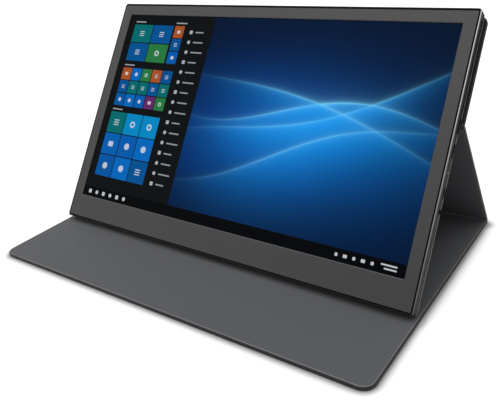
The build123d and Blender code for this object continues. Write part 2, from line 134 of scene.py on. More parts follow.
RIM_MARGIN = 0.25
LEAST_CORNER = 1.4
MIDDLE_MARGIN = 0.003

# Angles at which the shading breaks, and the distance that counts as none

PIECE_BREAK = math.radians(50)
SOLID_BREAK = math.radians(35)
NEAR = 1e-6


# Sizes and colours

def size(name, about, default):
    """A length that the user can change."""
    return FloatProperty(name=name, description=about, default=default, unit="LENGTH", precision=5)


def turn(name, about, degrees):
    """An angle that the user can change."""
    return FloatProperty(
        name=name, description=about, default=math.radians(degrees), subtype="ANGLE"
    )


def tint(name, about, default):
    """A colour that the user can change."""
    return FloatVectorProperty(
        name=name, description=about, default=default, size=3, subtype="COLOR", min=0.0, max=1.0
    )


class CoverSettings(PropertyGroup):
    """Sizes and colours of the folding cover."""
    tilt: turn("Screen tilt", "Angle of the screen above the table", 56.4)
    fold_height: size("Fold height", "Height of the back fold up the monitor's back", 0.1445)
    upper_length: size("Upper panel", "Length of the panel bonded to the monitor's back", 0.0836)
    thickness: size("Panel thickness", "Leather, board and lining together", 0.003)
    wall: size("Leather thickness", "Thickness of the leather wrap", 0.0008)
    rim: size("Leather rim", "Radius of the leather edge beside the lining", 0.0005)
    roll: size("Leather roll", "Radius of the leather edge at the outer face", 0.0009)
    board: size("Board thickness", "Thickness of the stiffener board", 0.0015)
    lining_gap: size("Lining gap", "Gap between the leather rim and the lining", 0.00015)
    lining_rim: size("Lining rim", "Radius of the lining's pressed edge", 0.0005)
    front_corner: size("Front corners", "Corner radius at the front of the cover", 0.010)
    top_corner: size("Top corners", "Corner radius at the top of the cover", 0.006)
    fold_corner: size("Fold corners", "Corner radius beside the folds", 0.001)
    fold_half: size("Fold gap", "Gap between a panel's end and its fold line", 0.00015)
    web: size("Web thickness", "Thickness of the soft leather at the folds", 0.00045)
    web_reach: size("Web reach", "How far the soft leather runs past a fold", 0.003)
    fold_top: size("Fold hollow", "How far the leather of a fold lies below the lining", 0.00025)
    fold_edge: size("Fold edge", "Size of the rounded side edges at the folds", 0.0006)
    sink: size("Fold sink", "How far a fold lies inside the panels' outer faces", 0.0000225)
    front_bend: size("Front bend", "Reach of the bend to each side of the front fold", 0.002)
    back_bend: size("Back bend", "Reach of the bend to each side of the back fold", 0.00136)
    heel: size("Heel radius", "Turn of the wrap under the back edge", 0.002)
    foot: size("Foot overhang", "Reach of the kick panel past the line it turns about", 0.0007)
    ply: size("Fold lining", "Thickness of the lining where it crosses a fold", 0.00035)
    ply_reach: size("Lining reach", "How far the soft lining runs past a fold", 0.0015)
    crease: size("Crease reach", "Half the width of the lining across the front fold", 0.0025)
    cove: size("Cove radius", "Turn of the lining between the spine and the kick panel", 0.0012)
    leather: tint("Leather", "Colour of the outer leather", (0.017, 0.017, 0.0185))
    lining: tint("Lining", "Colour of the inner lining", (0.096, 0.098, 0.104))
    bond: tint("Bonding sheet", "Colour of the sheet behind the monitor", (0.016, 0.016, 0.0175))
    # The lining's edge colours are painted highlights; the one under the monitor is a darker copy with painted
    # shade
    edge: tint("Lining edge", "Painted highlight on the lining's edge", (0.26, 0.26, 0.27))
    kick_shaded_highlight: tint("Inner edge", "Painted highlight under the monitor, darkened with painted shade", (0.13, 0.13, 0.135))


class BodySettings(PropertyGroup):
    """Colours of the monitor's shell, keys and sockets."""
    bezel: tint("Bezel", "Colour of the satin frame round the screen", (0.050, 0.050, 0.0515))
    housing: tint("Housing", "Colour of the rear shell", (0.008, 0.008, 0.0088))
    # Painted light: the side walls lighter near the foot
    lower_wall_painted_light: tint("Lower wall", "Colour of the side walls near the foot", (0.055, 0.055, 0.057))
    # Painted highlight along the housing's rear edge
    rear_edge_highlight: tint("Rear line", "Painted highlight on the housing's rear edge", (0.78, 0.79, 0.80))
    seam: tint("Seam", "Colour of the fine moulding line round the housing", (0.05, 0.05, 0.052))
    trim: tint("Trim", "Colour of the bright edge at the sides", (0.27, 0.275, 0.285))
    # Painted shade: the edge near black at its ends and on faces turned from the front
    trim_shade: tint("Dark trim", "Painted shade on the edge's ends and sides", (0.008, 0.008, 0.009))
    # Painted shade: near black for the gap beside the frame and the wall tops by it; the sockets' plastic takes
    # the same near black
    black_and_groove_shade: tint("Groove", "Colour of the gap beside the frame", (0.0015, 0.0015, 0.0018))
    keys: tint("Keys", "Colour of the side keys", (0.030, 0.030, 0.033))
    sockets: tint("Sockets", "Colour of the blackened socket shells", (0.004, 0.004, 0.0044))
    lens: tint("Status lens", "Colour of the smoked lens of the status light", (0.010, 0.010, 0.011))


class ScreenSettings(PropertyGroup):
    """The glass and the lit picture, measured from the picture's lower left corner."""
    width: size("Picture width", "Width of the lit picture", 0.34416)
    height: size("Picture height", "Height of the lit picture", 0.19359)
    bottom: size("Picture bottom", "Height of the picture above the monitor's bottom edge", 0.0243)
    panel_width: size("Dark panel", "Width of the dark panel at the picture's left", 0.112)
    margin: size("Glass margin", "Glass beyond the picture at the sides and top", 0.004)
    bottom_margin: size("Lower margin", "Glass beyond the picture at the bottom", 0.009)
    glass_back: size("Glass back", "Height of the glass above the monitor's back", 0.0086)
    glass: size("Glass thickness", "Thickness of the cover glass", 0.0006)
    deep: tint("Deep blue", "Darkest colour of the picture", (0.0005, 0.0065, 0.025))
    glow: tint("Glow blue", "Colour of the picture's wide glow", (0.0012, 0.058, 0.30))
    light: tint("Light blue", "Colour of the picture's soft waves", (0.006, 0.33, 0.92))
    crest: tint("Crests", "Colour of the bright lines on the waves", (0.20, 0.70, 1.0))
    ink: tint("Panel", "Colour of the dark panel", (0.0036, 0.0046, 0.0052))
    bar: tint("Bar", "Colour of the bar along the bottom", (0.0010, 0.0013, 0.0020))
    marks: tint("Marks", "Colour of the plain marks", (0.66, 0.70, 0.74))


class StageSettings(PropertyGroup):
    """The camera, the lamps, the floor and the surroundings."""
    azimuth: turn("Azimuth", "Camera's turn round the object", 36.932)
    elevation: turn("Elevation", "Camera's angle above the floor", 23.15)
    roll: turn("Roll", "Camera's turn about its own line of sight", -5.285)
    position: FloatVectorProperty(
        name="Position", description="Camera's place", size=3, unit="LENGTH",
        default=(0.31524, -0.39993, 0.28104),
    )
    lens: FloatProperty(name="Lens", description="Focal length", default=44.89, unit="CAMERA")
    rise: FloatProperty(
        name="Rise", description="Vertical lens shift that the framing needs", default=-0.0524
    )
    key_power: FloatProperty(
        name="Key lamp", description="Power of the large lamp above", default=20.0, unit="POWER"
    )
    fill_power: FloatProperty(
        name="Fill lamp", description="Power of the lamp at the left", default=4.0, unit="POWER"
    )
    ambient: FloatProperty(
        name="Surroundings", description="Light from the white surroundings", default=0.42
    )
    floor: tint("Floor", "Colour of the pale floor", (0.50, 0.50, 0.50))
    floor_reach: size("Floor reach", "Half the width of the floor", 3.0)
    floor_drop: size("Floor drop", "Gap between the floor and the cover", 0.0001)


# Shaping

def add_piece(name, form, materials, body=None, place=None):
    """Makes an object at the origin from a bmesh, with its place in its mesh."""
    bmesh.ops.recalc_face_normals(form, faces=form.faces)
    if place is not None:
        bmesh.ops.transform(form, matrix=place, verts=form.verts)
    mesh = bpy.data.meshes.new(name)
    form.to_mesh(mesh)
    form.free()
    for material in materials:
        mesh.materials.append(material)
    mesh.shade_smooth()
    mesh.set_sharp_from_angle(angle=PIECE_BREAK)
    made = bpy.data.objects.new(name, mesh)
    bpy.context.scene.collection.objects.link(made)
    if body:
        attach(made, body)
    return made


def verts_of(geometry):
    """The corners among what an operator made."""
    return [item for item in geometry if isinstance(item, bmesh.types.BMVert)]


def faces_of(geometry):
    """The faces among what an operator made."""
    return [item for item in geometry if isinstance(item, bmesh.types.BMFace)]


def region_of(faces):
    """Faces with their edges and corners, which an extrude needs to carry them away whole."""
    edges = {edge for face in faces for edge in face.edges}
    corners = {corner for face in faces for corner in face.verts}
    return [*faces, *edges, *corners]


def height_of(face):
    """The height of a face's middle."""
    return face.calc_center_median().z


def rounded_sheet(width, start, end, near_corner, far_corner, height):
    """A flat face from Y = start to end with rounded corners, at one height."""
    form = bmesh.new()
    bmesh.ops.create_grid(form, x_segments=1, y_segments=1, size=0.5)
    bmesh.ops.scale(form, vec=(width, end - start, 1.0), verts=form.verts)
    bmesh.ops.translate(form, vec=(0.0, (start + end) / 2, height), verts=form.verts)
    for edge, radius in ((start, near_corner), (end, far_corner)):
        corners = [vert for vert in form.verts if abs(vert.co.y - edge) < NEAR]
        bmesh.ops.bevel(
            form, geom=corners, offset=radius, offset_type="OFFSET", segments=CORNER_STEPS,
            profile=0.5, affect="VERTICES", material=-1,
        )
    return form


def raise_sheet(form, depth):
    """Gives a flat sheet its thickness and returns its lower and upper faces."""
    lower = form.faces[:][0]
    made = bmesh.ops.extrude_face_region(form, geom=[lower], use_keep_orig=True)["geom"]
    bmesh.ops.translate(form, vec=(0.0, 0.0, depth), verts=verts_of(made))
    return lower, faces_of(made)[0]


def round_rim(form, face, radius, segments=RIM_STEPS, slot=-1):
    """Rounds the edges of one flat face and returns what is left of it, kept truly flat."""
    height = height_of(face)
    made = bmesh.ops.bevel(
        form, geom=list(face.edges), offset=radius, offset_type="OFFSET", segments=segments,
        profile=0.5, affect="EDGES", material=-1,
    )
    if slot >= 0:
        for rim_face in made["faces"]:
            rim_face.material_index = slot
    level = [side for side in form.faces if abs(height_of(side) - height) < NEAR]
    flat = max(level, key=lambda side: side.calc_area())
    bmesh.ops.inset_region(
        form, faces=[flat], thickness=radius * RIM_MARGIN, use_even_offset=True
    )
    return flat


def square_middle(form, face):
    """Gives a large flat face a four-cornered middle, so that no long sliver crosses it."""
    lows = [min(vert.co[axis] for vert in face.verts) for axis in (0, 1)]
    highs = [max(vert.co[axis] for vert in face.verts) for axis in (0, 1)]
    made = bmesh.ops.extrude_face_region(form, geom=region_of([face]))["geom"]
    kept = {}
    merged = {}
    for vert in verts_of(made):
        corner = tuple(vert.co[axis] > (lows[axis] + highs[axis]) / 2 for axis in (0, 1))
        if corner in kept:
            merged[vert] = kept[corner]
        else:
            kept[corner] = vert
    for corner, vert in kept.items():
        for axis in (0, 1):
            far, near = highs[axis] - MIDDLE_MARGIN, lows[axis] + MIDDLE_MARGIN
            vert.co[axis] = far if corner[axis] else near
    bmesh.ops.weld_verts(form, targetmap=merged)


def leather_tray(cover, start, end, near_corner, far_corner):
    """The leather wrap of one panel: a shallow tray with rounded edges."""
    form = rounded_sheet(COVER_WIDTH, start, end, near_corner, far_corner, 0.0)
    flat = round_rim(form, raise_sheet(form, cover.thickness)[1], cover.rim)
    rim = cover.rim * (1.0 + RIM_MARGIN)
    bmesh.ops.inset_region(form, faces=[flat], thickness=cover.wall - rim, use_even_offset=True)
    sunk = bmesh.ops.extrude_face_region(form, geom=region_of([flat]))["geom"]
    bmesh.ops.translate(
        form, vec=(0.0, 0.0, cover.wall - cover.thickness), verts=verts_of(sunk)
    )
    square_middle(form, faces_of(sunk)[0])
    lower = min(form.faces, key=height_of)
    square_middle(form, round_rim(form, lower, cover.roll))
    return form


def lining_sheet(cover, start, end, near_corner, far_corner):
    """The lining of one panel, with its rounded edge in the second material, which carries a painted highlight."""
    inset = cover.wall + cover.lining_gap
    low = cover.wall + cover.board

    # A corner no wider than the rim round it would throw spikes
    least = cover.lining_rim * LEAST_CORNER
    form = rounded_sheet(
        COVER_WIDTH - 2 * inset, start + inset, end - inset,
        max(near_corner - inset, least), max(far_corner - inset, least), low,
    )
    lower, upper = raise_sheet(form, cover.thickness - low)
    square_middle(form, lower)
    square_middle(form, round_rim(form, upper, cover.lining_rim, slot=1))
    return form


def side_strip(start, heading, thickness, moves, width, rim=0.0):
    """A band drawn in side view, as straight runs and turns along its right-hand line.

    Each move is a length and no angle, or a radius and an angle in degrees. With a rim, the
    band's two ends across X carry the second material.
    """
    form = bmesh.new()
    along = Vector((0.0, math.cos(heading), math.sin(heading)))
    across = Vector((0.0, -along.z, along.y))
    point = Vector(start)
    tip = [form.verts.new(point), form.verts.new(point + across * thickness)]
    tip.append(form.edges.new(tip))
    for reach, degrees in moves:
        if degrees:
            angle = math.radians(degrees)
            centre = point + across * math.copysign(reach, angle)
            steps = max(3, round(abs(degrees) / TURN_STEP))
            made = bmesh.ops.spin(
                form, geom=tip, cent=centre, axis=(1.0, 0.0, 0.0), angle=angle, steps=steps
            )
            tip = list(made["geom_last"])
            spin = Matrix.Rotation(angle, 3, "X")
            point = centre + spin @ (point - centre)
            along = spin @ along
            across = spin @ across
        else:
            steps = max(2, round(reach / STRIP_STEP))
            for _ in range(steps):
                near = [item for item in tip if isinstance(item, bmesh.types.BMEdge)]
                made = bmesh.ops.extrude_edge_only(form, edges=near)["geom"]
                far = [
                    item for item in made if isinstance(item, bmesh.types.BMEdge)
                    and len(item.link_faces) == 1 and not set(item.verts) & set(near[0].verts)
                ]
                tip = [*far[0].verts, far[0]]
                bmesh.ops.translate(form, vec=along * reach / steps, verts=verts_of(tip))
            point = point + along * reach
    bmesh.ops.remove_doubles(form, verts=form.verts, dist=NEAR)
    bmesh.ops.translate(form, vec=(-width / 2, 0.0, 0.0), verts=form.verts)
    top = form.faces[:]
    lengths = [rim, width - 2 * rim, rim] if rim else [width]
    for index, length in enumerate(lengths):
        before = set(form.faces)
        made = bmesh.ops.extrude_face_region(
            form, geom=region_of(top), use_keep_orig=index == 0
        )["geom"]
        bmesh.ops.translate(form, vec=(length, 0.0, 0.0), verts=verts_of(made))
        top = faces_of(made)
        if rim:
            for face in set(form.faces) - before:
                face.material_index = 0 if index == 1 else 1
    return form


def fold_block(corners, cover):
    """A solid drawn in side view through its corners, each with the length that rounds it."""
    form = bmesh.new()
    outline = [form.verts.new(spot) for spot, length in corners]
    form.faces.new(outline)
    for corner, (spot, length) in zip(outline, corners):
        if length:
            bmesh.ops.bevel(
                form, geom=[corner], offset=length, offset_type="OFFSET", segments=FOLD_STEPS,
                profile=0.5, affect="VERTICES", material=-1,
            )
    width = COVER_WIDTH - cover.fold_edge / 2
    bmesh.ops.translate(form, vec=(-width / 2, 0.0, 0.0), verts=form.verts)
    made = bmesh.ops.extrude_face_region(form, geom=form.faces[:], use_keep_orig=True)["geom"]
    bmesh.ops.translate(form, vec=(width, 0.0, 0.0), verts=verts_of(made))
    bmesh.ops.recalc_face_normals(form, faces=form.faces)
    ends = [face for face in form.faces if round(abs(face.normal.x))]
    rims = {edge for face in ends for edge in face.edges}
    bmesh.ops.bevel(
        form, geom=list(rims), offset=cover.fold_edge, offset_type="OFFSET", segments=EDGE_STEPS,
        profile=0.5, affect="EDGES", clamp_overlap=True, material=-1,
    )
    return form


def monitor_place(cover):
    """The monitor's own frame: X across, Y up the screen, Z out of it, from its bottom edge."""
    turned = Matrix.Rotation(cover.tilt, 4, "X")
    return Matrix.Translation(FOLD) @ turned @ Matrix.Translation(
        (0.0, -cover.fold_height, cover.thickness)
    )


def kick_place(cover):
    """The kick panel's own frame: Y from the foot to the fold, Z = 0 on its outer leather."""
    rise = FOLD - FOOT
    half = cover.thickness / 2
    lean = math.atan2(rise.z, rise.y) + math.asin(half / rise.length)
    return (
        Matrix.Translation(FOOT) @ Matrix.Rotation(lean, 4, "X")
        @ Matrix.Translation((0.0, 0.0, -half))
    )


# Materials

# The part of a noise's values that its patches use
PATCH_RANGE = (0.3, 0.7)


class Nodes:
    """Short calls for building one material's nodes. A grain is a number to the metre."""

    def __init__(self, name):
        self.material = bpy.data.materials.new(name)
        self.material.use_nodes = True
        self.tree = self.material.node_tree
        self.shader = self.tree.nodes["Principled BSDF"]

    def add(self, kind, inputs=None, **settings):
        node = self.tree.nodes.new(kind)
        for key, value in settings.items():
            setattr(node, key, value)
        for key, value in (inputs or {}).items():
            self.feed(node.inputs[key], value)
        return node

    def feed(self, socket, value):
        if isinstance(value, bpy.types.NodeSocket):
            self.tree.links.new(value, socket)
        elif value is not None:
            socket.default_value = value

    def math(self, operation, *values, clamp=False):
        inputs = dict(enumerate(values))
        return self.add("ShaderNodeMath", inputs, operation=operation, use_clamp=clamp).outputs[0]

    def product(self, value, *others):
        for other in others:
            value = self.math("MULTIPLY", value, other)
        return value

    def weigh(self, *shares):
        """The sum of some values, each times its weight."""
        total = None
        for value, weight in shares:
            share = self.product(value, weight)
            total = share if total is None else self.math("ADD", total, share)
        return total

    def vector(self, operation, *values):
        node = self.add("ShaderNodeVectorMath", dict(enumerate(values)), operation=operation)
        return node.outputs["Value" if operation in {"LENGTH", "DOT_PRODUCT"} else "Vector"]

    def blend(self, factor, first, second, mode="MIX"):
        node = self.add("ShaderNodeMix", data_type="RGBA", blend_type=mode)
        for key, value in ((0, factor), (6, first), (7, second)):
            if isinstance(value, (tuple, list)) and len(value) == 3:
                value = (*value, 1.0)
            self.feed(node.inputs[key], value)
        return node.outputs[2]

    def place(self, scale=(1.0, 1.0, 1.0)):
        where = self.add("ShaderNodeTexCoord").outputs["Object"]
        return self.add("ShaderNodeMapping", {"Vector": where, "Scale": scale}).outputs[0]

    def noise(self, grain, where=None, detail=3.0, roughness=0.55):
        return self.add(
            "ShaderNodeTexNoise",
            {"Vector": where or self.place(), "Scale": grain, "Detail": detail,
             "Roughness": roughness},
        ).outputs[0]

    def cells(self, grain):
        return self.add(
            "ShaderNodeTexVoronoi", {"Vector": self.place(), "Scale": grain}, feature="SMOOTH_F1"
        ).outputs["Distance"]

    def spread(self, value, low, high, at_low, at_high):
        """A value that runs from one number to another between two limits."""
        return self.add(
            "ShaderNodeMapRange", {0: value, 1: low, 2: high, 3: at_low, 4: at_high}
        ).outputs[0]

    def rise(self, value, low, high):
        return self.spread(value, low, high, 0.0, 1.0)

    def fall(self, value, low, high):
        return self.spread(value, low, high, 1.0, 0.0)

    def bump(self, height, depth, strength):
        node = self.add("ShaderNodeBump", {"Height": height, "Strength": strength, "Distance": depth})
        self.feed(self.shader.inputs["Normal"], node.outputs[0])

    def coat(self, colour):
        self.feed(self.shader.inputs["Base Color"], colour)

    def base(self, colour, patch, change):
        """The base colour, a little lighter and darker with the patch value."""
        lighter = tuple(min(1.0, channel * (1.0 + change)) for channel in colour)
        darker = tuple(channel * (1.0 - change) for channel in colour)
        self.coat(self.blend(patch, darker, lighter))

    def polish(self, patch, smooth, dull, level=0.5):
        """Roughness that follows the patch value, and the strength of the reflection."""
        roughness = self.spread(patch, *PATCH_RANGE, smooth, dull)
        self.feed(self.shader.inputs["Roughness"], roughness)
        self.shader.inputs["Specular IOR Level"].default_value = level


def leather(name, colour, creased=False):
    """Pebbled synthetic leather, with finer creases where it is folded."""
    nodes = Nodes(name)
    pebbles = nodes.cells(grain=1500.0)
    pores = nodes.noise(grain=3200.0, detail=2.0)
    relief = [(pebbles, 0.7), (pores, 0.3)]
    if creased:
        stretched = nodes.place(scale=(0.12, 1.6, 1.6))
        relief.append((nodes.noise(grain=260.0, where=stretched, detail=4.0), 2.2))
    nodes.bump(nodes.weigh(*relief), depth=0.00012, strength=0.55)
    nodes.base(colour, nodes.noise(grain=38.0, detail=5.0), change=0.16)
    nodes.polish(nodes.noise(grain=70.0, detail=4.0), smooth=0.44, dull=0.60, level=0.30)
    return nodes.material


def lining(name, colour, smooth=0.62, dull=0.78, relief=0.35):
    """Brushed microfibre: short nap, soft patches and a faint sheen."""
    nodes = Nodes(name)
    nap = nodes.noise(grain=2600.0, where=nodes.place(scale=(1.0, 0.35, 1.0)))
    fine = nodes.noise(grain=700.0)
    patch = nodes.noise(grain=22.0, detail=6.0, roughness=0.6)
    nodes.bump(nodes.weigh((nap, 0.6), (fine, 0.4)), depth=0.0001, strength=relief)
    nodes.base(colour, nodes.blend(0.35, patch, fine), change=0.10)
    nodes.polish(patch, smooth, dull, level=0.35)
    nodes.shader.inputs["Sheen Weight"].default_value = 0.05
    nodes.shader.inputs["Sheen Roughness"].default_value = 0.4
    return nodes.material


def edge_highlight_lining(name, colour, smooth=0.36, dull=0.48):
    """The lining's rounded edge, with a painted highlight in its lighter colour and a little more shine."""
    return lining(name, colour, smooth, dull, relief=0.15)


def moulded(name, colour, smooth=0.40, dull=0.52, relief=0.25, level=0.45, paint=None):
    """Moulded plastic with the fine spark texture of its tool, and painted shade, light and highlights over it if
    given.
    """
    nodes = Nodes(name)
    patch = nodes.noise(grain=55.0, detail=4.0)
    nodes.bump(nodes.noise(grain=2200.0, detail=2.0), depth=0.00004, strength=relief)
    nodes.base(colour, patch, change=0.07)
    nodes.polish(patch, smooth, dull, level)
    if paint:
        bare = nodes.shader.inputs["Base Color"].links[0].from_socket
        nodes.coat(paint(nodes, bare))
    return nodes.material


def screen_side(nodes, cover):
    """How much a surface faces the way the screen does: 1 in front, 0 at the sides, -1 behind."""
    out = tuple(monitor_place(cover).col[2].to_3d())
    return nodes.vector("DOT_PRODUCT", nodes.add("ShaderNodeTexCoord").outputs["Normal"], out)


def along_monitor(nodes, cover, column):
    """A point's distance from the monitor's lower back edge, along one of the monitor's axes."""
    place = monitor_place(cover)
    where = nodes.add("ShaderNodeTexCoord").outputs["Object"]
    offset = nodes.vector("SUBTRACT", where, tuple(place.translation))
    return nodes.vector("DOT_PRODUCT", offset, tuple(place.col[column].to_3d()))


def from_back(nodes, cover):
    """The distance of a point from the monitor's back, along the way the screen faces."""
    return along_monitor(nodes, cover, 2)


def up_screen(nodes, cover):
    """The height of a point up the screen, from the monitor's bottom edge."""
    return along_monitor(nodes, cover, 1)


def bezel_painted_light(body, cover):
    """Paints shade on the frame, with its outer wall near black and its lower part darker, and paints light on its
    upper part and a highlight on its bevels.
    """
    def paint(nodes, bare):
        # Painted shade on the frame's lower part, painted light on its upper part
        shade = nodes.spread(up_screen(nodes, cover), 0.0, MONITOR_HEIGHT, *BEZEL_PAINTED_SHADE_AND_LIGHT)
        shaded = nodes.blend(1.0, bare, shade, mode="MULTIPLY")
        front = screen_side(nodes, cover)
        # Painted highlight on the frame's bevels
        bevel = nodes.product(nodes.rise(front, *BEVEL_START), nodes.fall(front, *BEVEL_END))
        bright = tuple(channel * BEVEL_HIGHLIGHT_LIFT for channel in body.bezel)
        lighter = nodes.blend(bevel, shaded, bright)
        # Painted shade: the frame's outer wall beside the groove in near black
        return nodes.blend(nodes.fall(front, *BEZEL_WALL_SHADE), lighter, tuple(body.black_and_groove_shade))
    return paint


def housing_seam_and_painted_light(body, cover):
    """Paints shade on the wall's top in near black, paints light on the walls near the foot, draws the moulding
    line and paints a highlight along the sides' rear edges.
    """
    def paint(nodes, bare):
        height = from_back(nodes, cover)
        # Painted light on the walls, lighter towards the monitor's bottom edge
        low = nodes.fall(up_screen(nodes, cover), *LOWER_WALL_LIGHT_FADE)
        wall = nodes.blend(low, bare, tuple(body.lower_wall_painted_light))
        seam = nodes.math("COMPARE", height, SEAM_HEIGHT, SEAM_HALF)
        wall = nodes.blend(nodes.product(seam, SEAM_STRENGTH), wall, tuple(body.seam))
        outward = nodes.add("ShaderNodeTexCoord").outputs["Normal"]
        sideways = nodes.math("ABSOLUTE", nodes.vector("DOT_PRODUCT", outward, (1.0, 0.0, 0.0)))
        # Painted highlight along the sides' rear edges
        band = nodes.product(nodes.rise(height, *HIGHLIGHT_START), nodes.fall(height, *HIGHLIGHT_END))
        line = nodes.product(band, nodes.rise(sideways, *SIDE_TURN))
        wall = nodes.blend(line, wall, tuple(body.rear_edge_highlight))
        # Painted shade: the wall's top in near black
        return nodes.blend(nodes.rise(height, *WALL_TOP_SHADE), wall, tuple(body.black_and_groove_shade))
    return paint


def drawn_lines(nodes, strength):
    """Gives metal its fine drawn lines along X, and returns them and soft patches."""
    lines = nodes.noise(grain=3000.0, where=nodes.place(scale=(0.05, 1.0, 1.0)))
    nodes.bump(lines, depth=0.00002, strength=strength)
    return lines, nodes.noise(grain=90.0, detail=4.0)


def metal(name, colour):
    """Metal with fine drawn lines and small changes in its polish."""
    nodes = Nodes(name)
    lines, patch = drawn_lines(nodes, strength=0.3)
    nodes.base(colour, lines, change=0.10)
    nodes.polish(patch, smooth=0.24, dull=0.38)
    nodes.shader.inputs["Metallic"].default_value = 1.0
    return nodes.material


def side_trim(name, body, cover):
    """The plated edge: bright along the front of the monitor's sides, with painted shade in near black elsewhere,
    and darker towards the bottom.
    """
    nodes = Nodes(name)
    patch = drawn_lines(nodes, strength=0.25)[1]
    away = nodes.math("SUBTRACT", up_screen(nodes, cover), MONITOR_HEIGHT / 2)
    reach = MONITOR_HEIGHT / 2 - TRIM_WIDTH
    # Painted shade at the edge's top and bottom runs and on faces turned from the front
    end = nodes.rise(nodes.math("ABSOLUTE", away), reach - TRIM_CORNER, reach)
    dark = nodes.math("MAXIMUM", end, nodes.fall(screen_side(nodes, cover), *TRIM_SIDE_SHADE))
    # Worn patches, and painted shade darker towards the bottom of the monitor
    wear_and_shade = nodes.product(nodes.spread(patch, *TRIM_WEAR), nodes.spread(away, *TRIM_SHADE_FADE))
    bright = nodes.blend(wear_and_shade, tuple(body.trim_shade), tuple(body.trim))
    nodes.coat(nodes.blend(dark, bright, tuple(body.trim_shade)))
    nodes.feed(nodes.shader.inputs["Metallic"], nodes.math("SUBTRACT", 1.0, dark))
    nodes.polish(patch, smooth=0.26, dull=0.36, level=0.12)
    return nodes.material


def circuit(name, colour):
    """Solder mask over faint straight tracks."""
    nodes = Nodes(name)
    black, white = (0.0, 0.0, 0.0, 1.0), (1.0, 1.0, 1.0, 1.0)
    tracks = nodes.add(
        "ShaderNodeTexBrick",
        {"Vector": nodes.place(), "Scale": 420.0, "Mortar Size": 0.03, "Color1": black,
         "Color2": black, "Mortar": white},
    ).outputs["Color"]
    lighter = tuple(min(1.0, channel * 1.6 + 0.01) for channel in colour)
    nodes.coat(nodes.blend(tracks, colour, lighter))
    nodes.bump(tracks, depth=0.00003, strength=0.4)
    nodes.polish(nodes.noise(grain=120.0), smooth=0.28, dull=0.4)
    return nodes.material


def film(name, colour):
    """A clear or milky film with faint ripples."""
    nodes = Nodes(name)
    ripple = nodes.noise(grain=160.0, detail=2.0)
    nodes.bump(ripple, depth=0.00005, strength=0.3)
    nodes.base(colour, ripple, change=0.05)
    nodes.polish(ripple, smooth=0.16, dull=0.28)
    return nodes.material


def fibreboard(name, colour):
    """Pressed board with its fibres and flecks."""
    nodes = Nodes(name)
    fibres = nodes.noise(grain=900.0, where=nodes.place(scale=(0.2, 1.0, 1.0)), detail=5.0)
    nodes.bump(fibres, depth=0.0001, strength=0.5)
    nodes.base(colour, fibres, change=0.25)
    nodes.polish(fibres, smooth=0.8, dull=0.95)
    return nodes.material


# The picture on the screen, with its places in millimetres from its lower left corner

CARD_SHADES = (
    (0.0, 0.10, 0.40), (0.0, 0.13, 0.48), (0.0, 0.09, 0.34), (0.0, 0.23, 0.52), (0.02, 0.18, 0.05),
    (0.12, 0.02, 0.13), (0.0, 0.11, 0.42), (0.36, 0.08, 0.02), (0.0, 0.14, 0.15), (0.0, 0.08, 0.28),
)

# Blocks of cards: lower left corner, cards across and down, size of a card, seed of the shades
CARD_BLOCKS = (
    ((8.0, 144.0), (2, 2), (27.0, 20.0), 3.0), ((63.5, 144.0), (1, 3), (13.3, 13.3), 11.0),
    ((8.0, 96.0), (5, 3), (13.8, 13.8), 5.0), ((8.0, 22.0), (3, 3), (22.7, 22.7), 8.0),
)
CARD_GAP = 1.0
EDGE_SHARPNESS = 4.0
MARK_STRENGTH = 0.75

# Shares of a card that its mark takes, and shares of the mark that its strokes take
MARK_SHARE = 0.29
SQUARE_SHARE = 0.8
LINE_STEP = 0.36
LINE_SHARE = 0.16

# The heading over a block: its place from the block's upper left corner, size and strength
HEADING_PLACE = (8.0, 2.4)
HEADING_SIZE = (14.0, 1.2)
HEADING_STRENGTH = 0.5

# Rows of the list: length of the bar, corner radius of the mark before it
LIST_ROWS = ((10.0, 0.5), (14.0, 1.8), (12.0, 1.8))
LIST_CORNER = (82.0, 21.0)
LIST_MIDDLE = (96.0, 102.0)
LIST_SIZE = (28.0, 163.62)
LIST_WIDTH = 40.0
LIST_PITCH = 10.1
LIST_MARK = (4.0, 3.6)
LIST_MARK_STRENGTH = 0.6
LIST_BAR = (9.5, 1.3)
LIST_BAR_STRENGTH = 0.42
LIST_BAR_CORNER = 0.6

# Waves: height at the left, slope, swing, pace, phase, strength
WAVES = (
    (0.18, 0.62, 0.070, 6.0, 0.3, 0.75), (0.60, -0.05, 0.085, 7.0, 2.1, 0.80),
    (0.86, -0.42, 0.060, 5.0, 4.4, 0.55), (0.05, 0.52, 0.050, 8.5, 1.2, 0.50),
)
WAVE_FADE = 10.0
CREST_WIDTH = 0.010
GLOW_MIDDLE = (0.60, 0.46, 0.0)
GLOW_PINCH = (3.2, 3.5, 0.0)
GLOW_HAZE = (0.2, 0.8, 0.8, 1.2)
WAVE_MIDDLE = 0.70
WAVE_REACH = 0.21

BAR_HEIGHT = 10.0

# Marks on the bar: place of the middle, width, height, corner radius
BAR_MARKS = (
    *((9.0 + 9.5 * step, 5.0, 3.8, 3.8, 1.9 if step % 2 else 0.6) for step in range(6)),
    *((288.0 + 7.5 * step, 5.0, 3.4 if step % 2 else 2.4, 2.6, 0.6) for step in range(5)),
    (331.0, 6.5, 13.0, 1.2, 0.5), (332.5, 3.7, 10.0, 1.2, 0.5),
)


def soft_wave(nodes, u, v, middle, slope, swing, pace, phase):
    """One wave across the picture: its soft body below the line, and its bright crest."""
    bend = nodes.product(nodes.math("SINE", nodes.math("MULTIPLY_ADD", u, pace, phase)), swing)
    line = nodes.math("ADD", nodes.math("MULTIPLY_ADD", u, slope, middle), bend)
    above = nodes.math("SUBTRACT", v, line)
    body = nodes.math("EXPONENT", nodes.product(above, WAVE_FADE))
    body = nodes.product(body, nodes.math("LESS_THAN", above, 0.0))
    spread = nodes.math("ADD", nodes.math("ABSOLUTE", above), CREST_WIDTH)
    crest = nodes.math("DIVIDE", CREST_WIDTH, spread)
    return body, nodes.product(crest, crest)


